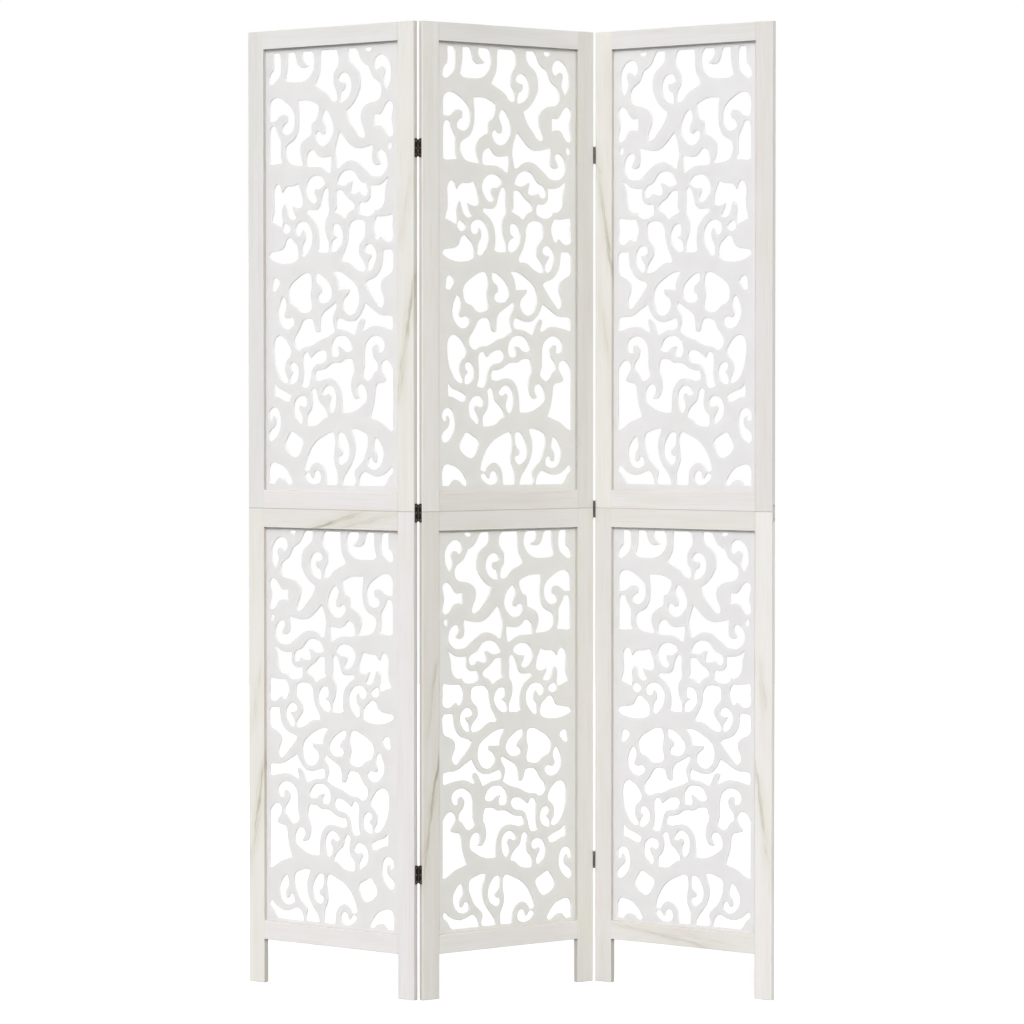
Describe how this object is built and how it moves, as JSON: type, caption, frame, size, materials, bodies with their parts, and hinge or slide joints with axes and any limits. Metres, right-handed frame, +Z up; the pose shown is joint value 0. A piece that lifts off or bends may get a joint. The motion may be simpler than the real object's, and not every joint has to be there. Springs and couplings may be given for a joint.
{
  "type": "room divider",
  "caption": "Folding room divider of hinged whitewashed wooden leaves, each of stacked frames with scroll-cut fret panels, standing in a zigzag.",
  "frame": {"origin": "on the floor under the middle of the standing screen's bounding box", "axes": "+X to the right as seen from the front, +Y towards the back, +Z up"},
  "size_m": [0.9002, 0.202, 1.65],
  "materials": {
    "whitewashed_stile": "matte whitewash over pale grain",
    "whitewashed_rail": "matte whitewash over pale grain",
    "painted_fret": "smooth matte off-white paint",
    "plain_dowel": "bare beech",
    "dark_hinge": "dark brown antique finish, slightly worn",
    "screw_steel": "dull steel",
    "grey_strap": "grey, matte"
  },
  "bodies": {
    "middle_leaf": {"left_bottom_hinge_pin": "dark_hinge", "left_bottom_hinge_plate": "dark_hinge", "left_middle_hinge_pin": "dark_hinge", "left_middle_hinge_plate": "dark_hinge", "left_top_hinge_pin": "dark_hinge", "left_top_hinge_plate": "dark_hinge", "middle_dowels": "plain_dowel", "middle_lower_bottom_rail": "whitewashed_rail", "middle_lower_fret_panel": "painted_fret", "middle_lower_left_stile": "whitewashed_stile", "middle_lower_right_stile": "whitewashed_stile", "middle_lower_top_rail": "whitewashed_rail", "middle_screws": "screw_steel", "middle_upper_bottom_rail": "whitewashed_rail", "middle_upper_fret_panel": "painted_fret", "middle_upper_left_stile": "whitewashed_stile", "middle_upper_right_stile": "whitewashed_stile", "middle_upper_top_rail": "whitewashed_rail", "right_bottom_hinge_pin": "dark_hinge", "right_bottom_hinge_plate": "dark_hinge", "right_middle_hinge_pin": "dark_hinge", "right_middle_hinge_plate": "dark_hinge", "right_top_hinge_pin": "dark_hinge", "right_top_hinge_plate": "dark_hinge"},
    "left_leaf": {"left_bottom_hinge_wing": "dark_hinge", "left_dowels": "plain_dowel", "left_joining_strap": "grey_strap", "left_lower_bottom_rail": "whitewashed_rail", "left_lower_fret_panel": "painted_fret", "left_lower_left_stile": "whitewashed_stile", "left_lower_right_stile": "whitewashed_stile", "left_lower_top_rail": "whitewashed_rail", "left_middle_hinge_wing": "dark_hinge", "left_screws": "screw_steel", "left_top_hinge_wing": "dark_hinge", "left_upper_bottom_rail": "whitewashed_rail", "left_upper_fret_panel": "painted_fret", "left_upper_left_stile": "whitewashed_stile", "left_upper_right_stile": "whitewashed_stile", "left_upper_top_rail": "whitewashed_rail"},
    "right_leaf": {"right_bottom_hinge_wing": "dark_hinge", "right_dowels": "plain_dowel", "right_joining_strap": "grey_strap", "right_lower_bottom_rail": "whitewashed_rail", "right_lower_fret_panel": "painted_fret", "right_lower_left_stile": "whitewashed_stile", "right_lower_right_stile": "whitewashed_stile", "right_lower_top_rail": "whitewashed_rail", "right_middle_hinge_wing": "dark_hinge", "right_screws": "screw_steel", "right_top_hinge_wing": "dark_hinge", "right_upper_bottom_rail": "whitewashed_rail", "right_upper_fret_panel": "painted_fret", "right_upper_left_stile": "whitewashed_stile", "right_upper_right_stile": "whitewashed_stile", "right_upper_top_rail": "whitewashed_rail"}
  },
  "joints": [
    {"name": "left_fold", "type": "hinge", "parent": "middle_leaf", "child": "left_leaf", "pos_m": [-0.15079, -0.09147, 0.825], "axis": [0, 0, 1], "range_deg": [-112.9, 67]},
    {"name": "right_fold", "type": "hinge", "parent": "middle_leaf", "child": "right_leaf", "pos_m": [0.15028, 0.09145, 0.825], "axis": [0, 0, 1], "range_deg": [-113, 66.8]}
  ]
}
